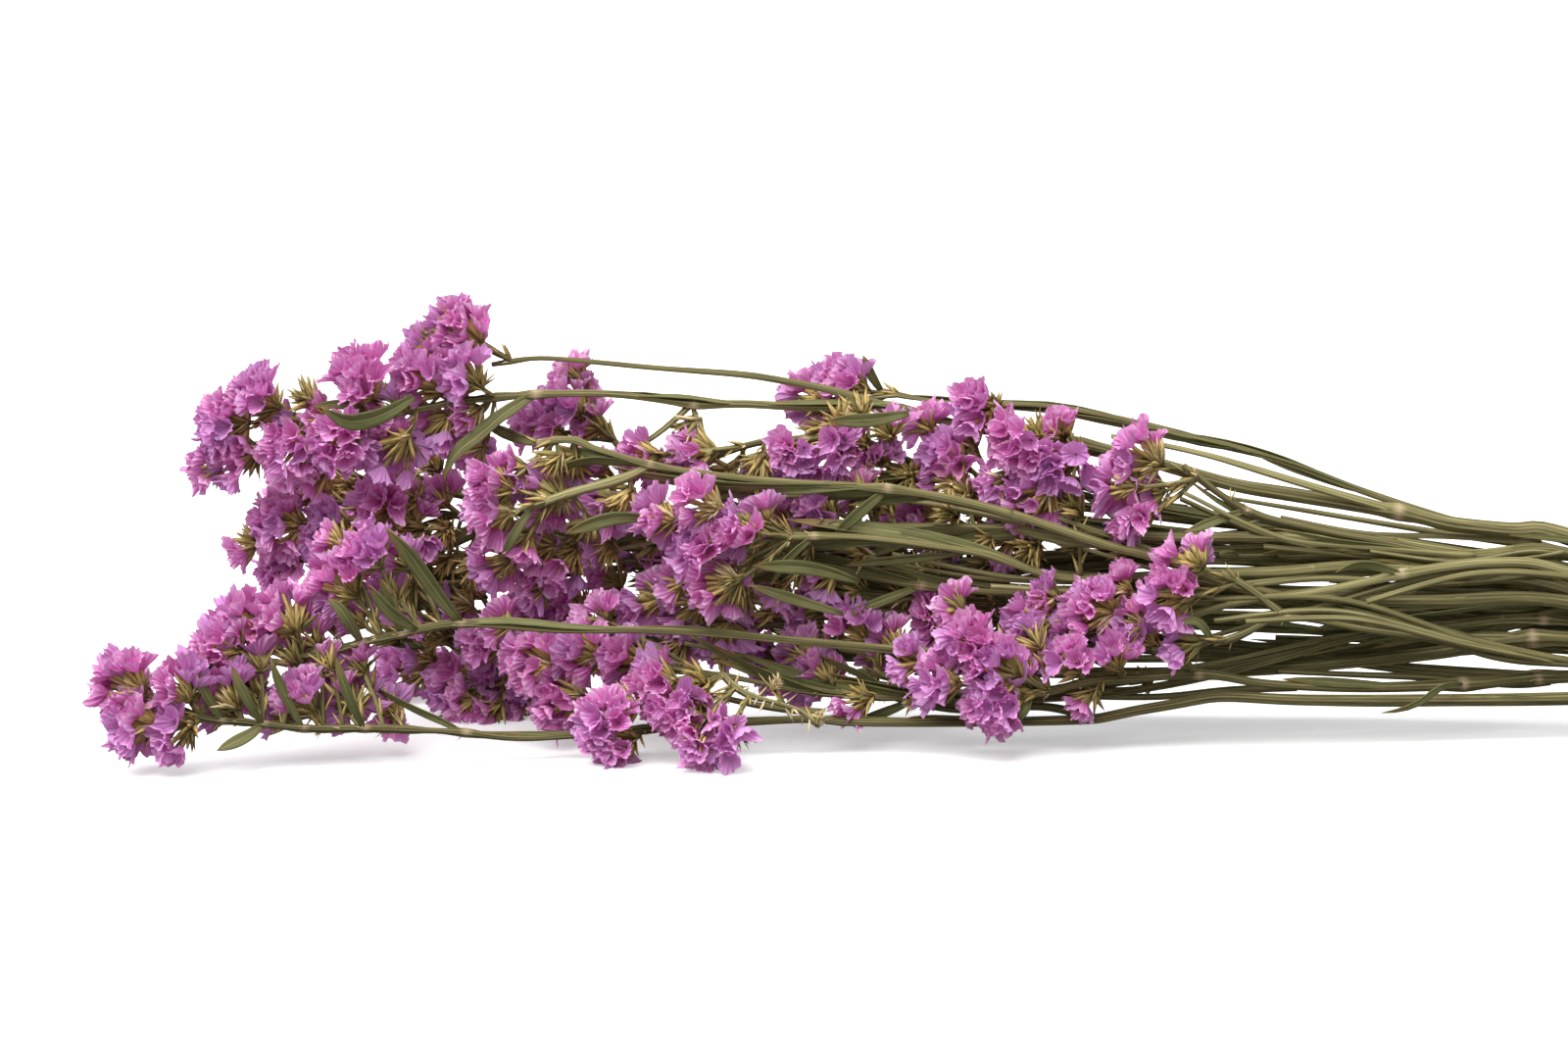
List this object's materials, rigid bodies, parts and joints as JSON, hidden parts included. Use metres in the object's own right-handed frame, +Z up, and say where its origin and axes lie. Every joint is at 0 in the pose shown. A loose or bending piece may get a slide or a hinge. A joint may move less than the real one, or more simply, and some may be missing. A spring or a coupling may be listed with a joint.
{
  "type": "dried statice bunch",
  "caption": "Dried statice bunch lying on its side: winged stems with pointed leaves and bract tufts, heads of papery pink calyces, held by a raffia tie near the cut ends.",
  "frame": {"origin": "on the surface that the bunch lies on, below the middle of its bounding box", "axes": "+Z up, +X along the bunch from the flower heads to the cut ends, -Y toward the side that the picture shows"},
  "size_m": [0.5658, 0.136, 0.1349],
  "materials": {
    "stem": "dry olive green, ribbed, tan at the joints",
    "calyx": "papery, pleated, orchid pink to deep magenta",
    "raffia": "dry, fibrous, straw coloured"
  },
  "bodies": {
    "root": {"stem_01": "stem", "stem_02": "stem", "stem_03": "stem", "stem_04": "stem", "stem_05": "stem", "stem_06": "stem", "stem_07": "stem", "stem_08": "stem", "stem_09": "stem", "stem_10": "stem", "stem_11": "stem", "stem_12": "stem", "stem_13": "stem", "stem_14": "stem", "stem_15": "stem", "stem_16": "stem", "stem_17": "stem", "bloom_01": "calyx", "bloom_02": "calyx", "bloom_03": "calyx", "bloom_04": "calyx", "bloom_05": "calyx", "bloom_06": "calyx", "bloom_07": "calyx", "bloom_08": "calyx", "bloom_09": "calyx", "bloom_10": "calyx", "bloom_11": "calyx", "bloom_12": "calyx", "bloom_13": "calyx", "bloom_14": "calyx", "bloom_15": "calyx", "bloom_16": "calyx", "bloom_17": "calyx", "bloom_18": "calyx", "bloom_19": "calyx", "bloom_20": "calyx", "bloom_21": "calyx", "bloom_22": "calyx", "bloom_23": "calyx", "bloom_24": "calyx", "bloom_25": "calyx", "bloom_26": "calyx", "bloom_27": "calyx", "bloom_28": "calyx", "bloom_29": "calyx", "bloom_30": "calyx", "bloom_31": "calyx", "bloom_32": "calyx", "bloom_33": "calyx", "bloom_34": "calyx", "bloom_35": "calyx", "bloom_36": "calyx", "bloom_37": "calyx", "bloom_38": "calyx", "bloom_39": "calyx", "bloom_40": "calyx", "bloom_41": "calyx", "bloom_42": "calyx", "tie": "raffia"}
  },
  "joints": []
}
